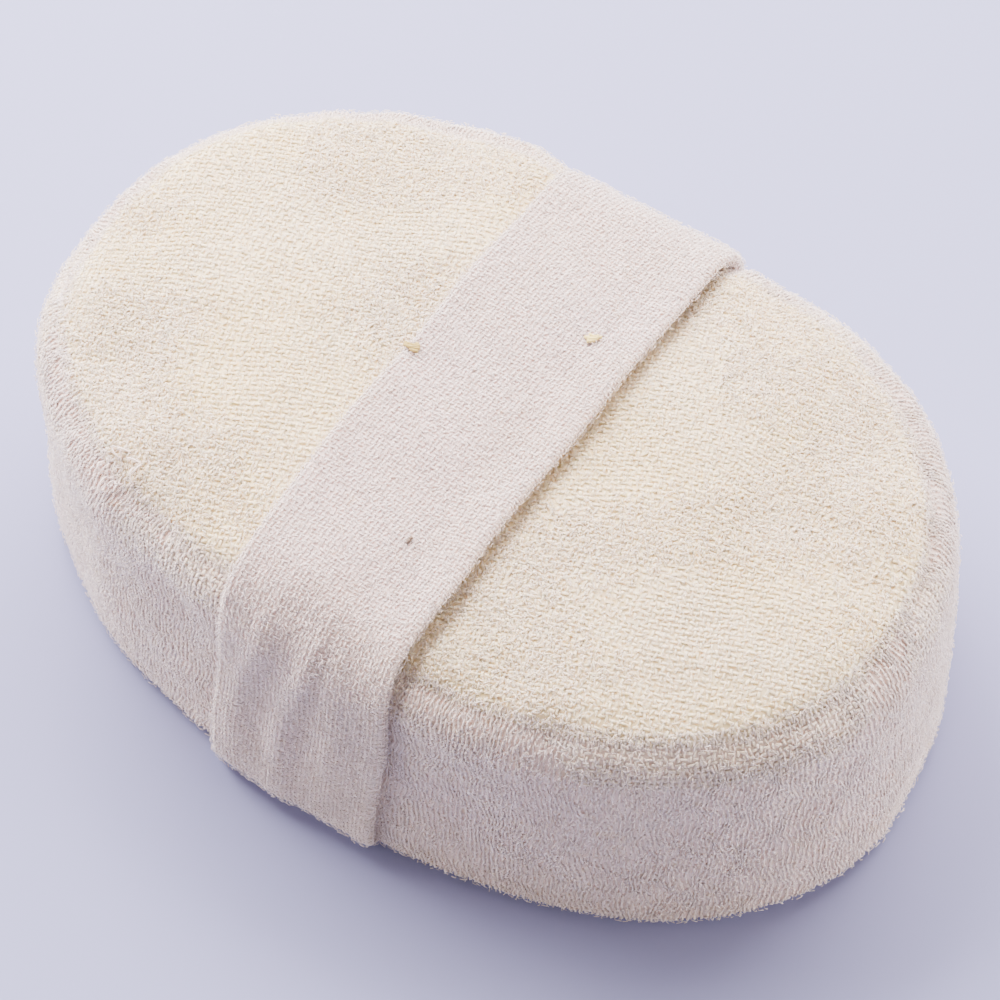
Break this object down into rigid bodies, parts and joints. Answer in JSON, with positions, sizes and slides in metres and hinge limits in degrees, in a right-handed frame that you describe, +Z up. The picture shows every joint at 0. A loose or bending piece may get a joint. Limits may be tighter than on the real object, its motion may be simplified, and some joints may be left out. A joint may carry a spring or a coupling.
{
  "type": "loofah back scrubber",
  "caption": "Oval padded bath scrubber with a terry cover, a pressed loofah face underneath and a terry hand strap sewn across the top.",
  "frame": {"origin": "middle of the oval on the plane that the loofah face rests on", "axes": "+X along the oval's long axis, +Y across it along the hand strap towards the side with the band's join, +Z up through the strap"},
  "size_m": [0.145, 0.1, 0.0514],
  "materials": {
    "cream_terry": "warm cream loop-pile terry with an open knit ground",
    "band_terry": "pale cream loop-pile terry, fluffier than the top",
    "strap_terry": "off-white fine-looped knit terry, folded double",
    "loofah_fibre": "dry pressed loofah, a network of straw-coloured plant fibre",
    "foam": "open-cell cellulose and polyurethane bath sponge",
    "cotton_thread": "undyed cotton sewing thread"
  },
  "bodies": {
    "scrubber": {"foam_core": "foam", "loofah_face": "loofah_fibre", "top_panel": "cream_terry", "side_band": "band_terry", "top_seam_thread": "cotton_thread", "bottom_seam_thread": "cotton_thread", "band_join_thread": "cotton_thread", "strap_front_leg": "strap_terry", "strap_back_leg": "strap_terry"},
    "strap": {"strap_span": "strap_terry", "strap_seam_thread": "cotton_thread"}
  },
  "joints": [
    {"name": "strap_lift", "type": "slide", "parent": "scrubber", "child": "strap", "axis": [0, 0, 1], "range_m": [0, 0.02], "deforming": ["strap_front_leg", "strap_back_leg"]}
  ]
}
